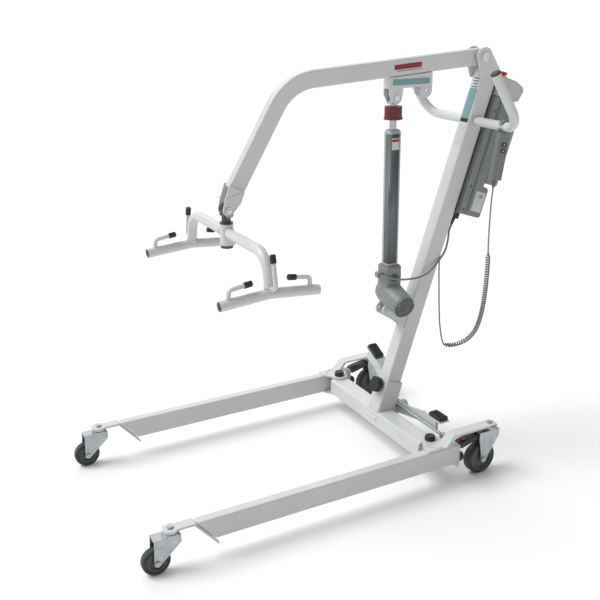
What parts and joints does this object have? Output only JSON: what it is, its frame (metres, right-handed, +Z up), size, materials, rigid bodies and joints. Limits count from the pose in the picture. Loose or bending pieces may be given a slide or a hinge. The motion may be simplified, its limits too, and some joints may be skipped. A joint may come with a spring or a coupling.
{
  "type": "patient lift hoist",
  "caption": "mobile hoist with a castor base, spreading legs, a leaning mast, an electric lifting boom, a swivelling sling spreader, a hand control and a battery box",
  "frame": {"origin": "floor level, midway between the extents of the hoist", "axes": "+Z up; the legs and the boom point to -Y; +X is the carer's left when facing -Y"},
  "size_m": [0.663, 1.3827, 1.2311],
  "materials": {
    "frame_paint": "light grey powder coat",
    "zinc_steel": "zinc plated",
    "chrome_rod": "polished",
    "black_plastic": "moulded",
    "brake_plastic": "moulded, red press marks",
    "pad_rubber": "ribbed",
    "tyre": "smooth",
    "wheel_hub": "moulded",
    "actuator_grey": "anodised grey",
    "gear_plastic": "moulded grey",
    "collar_red": "moulded dark red",
    "swivel_dark": "dark coated",
    "box_grey": "fine textured grey",
    "handset_grey": "fine textured grey",
    "button_dark": "moulded",
    "stop_red": "bright red",
    "cord_grey": "flexible sheath"
  },
  "bodies": {
    "base": {"cross_beam": "frame_paint", "mast_socket": "frame_paint", "mast_tube": "frame_paint", "mast_head": "frame_paint", "foot_bracket": "frame_paint", "boom_pivot_bolt": "zinc_steel", "push_handle": "frame_paint", "box_mount": "black_plastic", "control_box": "box_grey", "handset": "handset_grey", "cable_plugs": "black_plastic", "motor_cable": "cord_grey", "handset_cord": "cord_grey", "handset_coil": "cord_grey", "leg_pivot_bolts": "black_plastic"},
    "rocker": {"pedal_rocker": "frame_paint", "pedal_pads": "pad_rubber"},
    "link_left": {"left_link": "zinc_steel"},
    "link_right": {"right_link": "zinc_steel"},
    "leg_left": {"left_leg_tube": "frame_paint", "left_leg_plates": "frame_paint", "left_castor_bolts": "zinc_steel"},
    "leg_right": {"right_leg_tube": "frame_paint", "right_leg_plates": "frame_paint", "right_castor_bolts": "zinc_steel"},
    "castor_front_left": {"front_left_fork": "zinc_steel"},
    "wheel_front_left": {"front_left_tyre": "tyre", "front_left_hub": "wheel_hub"},
    "castor_front_right": {"front_right_fork": "zinc_steel"},
    "wheel_front_right": {"front_right_tyre": "tyre", "front_right_hub": "wheel_hub"},
    "castor_rear_left": {"rear_left_fork": "zinc_steel"},
    "wheel_rear_left": {"rear_left_tyre": "tyre", "rear_left_hub": "wheel_hub"},
    "brake_left": {"rear_left_brake": "brake_plastic"},
    "castor_rear_right": {"rear_right_fork": "zinc_steel"},
    "wheel_rear_right": {"rear_right_tyre": "tyre", "rear_right_hub": "wheel_hub"},
    "brake_right": {"rear_right_brake": "brake_plastic"},
    "boom": {"boom_tube": "frame_paint", "boom_clevis": "frame_paint", "boom_bracket": "frame_paint", "boom_pins": "zinc_steel"},
    "actuator": {"actuator_tube": "actuator_grey", "gear_housing": "gear_plastic", "motor_housing": "gear_plastic"},
    "rod": {"piston_rod": "chrome_rod"},
    "collar": {"release_collar": "collar_red"},
    "hanger": {"hanger_stud": "swivel_dark"},
    "spreader": {"spreader_hub": "frame_paint", "spreader_frame": "frame_paint", "sling_bars": "frame_paint", "sling_hooks": "frame_paint", "spreader_caps": "black_plastic"},
    "battery": {"battery_pack": "box_grey"},
    "stop": {"emergency_stop": "stop_red"},
    "button_up": {"up_button": "button_dark"},
    "button_down": {"down_button": "button_dark"},
    "lock_knob": {"mast_lock_knob": "black_plastic"}
  },
  "joints": [
    {"name": "boom_lift", "type": "hinge", "parent": "base", "child": "boom", "pos_m": [0, 0.53768, 1.20311], "axis": [-1, 0, 0], "range_deg": [0, 48]},
    {"name": "actuator_tilt", "type": "hinge", "parent": "base", "child": "actuator", "pos_m": [0, 0.2447, 0.458], "axis": [1, 0, 0], "range_deg": [-1.76, 0]},
    {"name": "rod_extend", "type": "slide", "parent": "actuator", "child": "rod", "axis": [0, -0.014, 0.9999], "range_m": [0, 0.25826]},
    {"name": "hanger_level", "type": "hinge", "parent": "boom", "child": "hanger", "pos_m": [0, -0.2963, 0.836], "axis": [1, 0, 0], "range_deg": [0, 48]},
    {"name": "spreader_swivel", "type": "hinge", "parent": "hanger", "child": "spreader", "pos_m": [0, -0.2963, 0.77], "axis": [0, 0, 1], "continuous": true},
    {"name": "release_collar_turn", "type": "hinge", "parent": "rod", "child": "collar", "pos_m": [0, 0.2363, 1.05794], "axis": [0, -0.014, 0.9999], "range_deg": [0, 90]},
    {"name": "left_leg_spread", "type": "hinge", "parent": "base", "child": "leg_left", "pos_m": [0.261, 0.2297, 0.09], "axis": [0, 0, 1], "range_deg": [0, 13]},
    {"name": "right_leg_spread", "type": "hinge", "parent": "base", "child": "leg_right", "pos_m": [-0.261, 0.2297, 0.09], "axis": [0, 0, -1], "range_deg": [0, 13]},
    {"name": "pedal_rock", "type": "hinge", "parent": "base", "child": "rocker", "pos_m": [0, 0.3057, 0.105], "axis": [0, -1, 0], "range_deg": [0, 28]},
    {"name": "left_link_slide", "type": "slide", "parent": "base", "child": "link_left", "axis": [-1, 0, 0], "range_m": [0, 0.01099]},
    {"name": "right_link_slide", "type": "slide", "parent": "base", "child": "link_right", "axis": [1, 0, 0], "range_m": [0, 0.01099]},
    {"name": "front_left_swivel", "type": "hinge", "parent": "leg_left", "child": "castor_front_left", "pos_m": [0.307, -0.6103, 0.11], "axis": [0, 0, 1], "continuous": true},
    {"name": "front_left_roll", "type": "hinge", "parent": "castor_front_left", "child": "wheel_front_left", "pos_m": [0.307, -0.6533, 0.038], "axis": [1, 0, 0], "continuous": true},
    {"name": "rear_left_swivel", "type": "hinge", "parent": "leg_left", "child": "castor_rear_left", "pos_m": [0.307, 0.4167, 0.145], "axis": [0, 0, 1], "continuous": true},
    {"name": "rear_left_roll", "type": "hinge", "parent": "castor_rear_left", "child": "wheel_rear_left", "pos_m": [0.307, 0.3837, 0.05], "axis": [1, 0, 0], "continuous": true},
    {"name": "rear_left_brake", "type": "hinge", "parent": "castor_rear_left", "child": "brake_left", "pos_m": [0.307, 0.3727, 0.129], "axis": [1, 0, 0], "range_deg": [0, 12]},
    {"name": "front_right_swivel", "type": "hinge", "parent": "leg_right", "child": "castor_front_right", "pos_m": [-0.307, -0.6103, 0.11], "axis": [0, 0, 1], "continuous": true},
    {"name": "front_right_roll", "type": "hinge", "parent": "castor_front_right", "child": "wheel_front_right", "pos_m": [-0.307, -0.6533, 0.038], "axis": [1, 0, 0], "continuous": true},
    {"name": "rear_right_swivel", "type": "hinge", "parent": "leg_right", "child": "castor_rear_right", "pos_m": [-0.307, 0.4167, 0.145], "axis": [0, 0, 1], "continuous": true},
    {"name": "rear_right_roll", "type": "hinge", "parent": "castor_rear_right", "child": "wheel_rear_right", "pos_m": [-0.307, 0.3837, 0.05], "axis": [1, 0, 0], "continuous": true},
    {"name": "rear_right_brake", "type": "hinge", "parent": "castor_rear_right", "child": "brake_right", "pos_m": [-0.307, 0.3727, 0.129], "axis": [1, 0, 0], "range_deg": [0, 12]},
    {"name": "lock_knob_turn", "type": "hinge", "parent": "base", "child": "lock_knob", "pos_m": [0, 0.22304, 0.20024], "axis": [0, -0.9505, 0.3107], "continuous": true},
    {"name": "stop_press", "type": "slide", "parent": "base", "child": "stop", "axis": [0, -0.3107, -0.9505], "range_m": [0, 0.0025], "stiffness_N_per_m": 1200},
    {"name": "up_press", "type": "slide", "parent": "base", "child": "button_up", "axis": [-1, 0, 0], "range_m": [0, 0.0015], "stiffness_N_per_m": 800},
    {"name": "down_press", "type": "slide", "parent": "base", "child": "button_down", "axis": [-1, 0, 0], "range_m": [0, 0.0015], "stiffness_N_per_m": 800},
    {"name": "battery_slide", "type": "slide", "parent": "base", "child": "battery", "axis": [0, 0.9505, -0.3107], "range_m": [0, 0.1]}
  ],
  "couplings": [
    {"joint": "actuator_tilt", "follows": "boom_lift", "ratio": -0.036614},
    {"joint": "rod_extend", "follows": "boom_lift", "m_per_rad": 0.30828},
    {"joint": "hanger_level", "follows": "boom_lift", "ratio": 1},
    {"joint": "right_leg_spread", "follows": "left_leg_spread", "ratio": 1},
    {"joint": "pedal_rock", "follows": "left_leg_spread", "ratio": 2.1538},
    {"joint": "left_link_slide", "follows": "left_leg_spread", "m_per_rad": 0.048437},
    {"joint": "right_link_slide", "follows": "left_leg_spread", "m_per_rad": 0.048437}
  ]
}
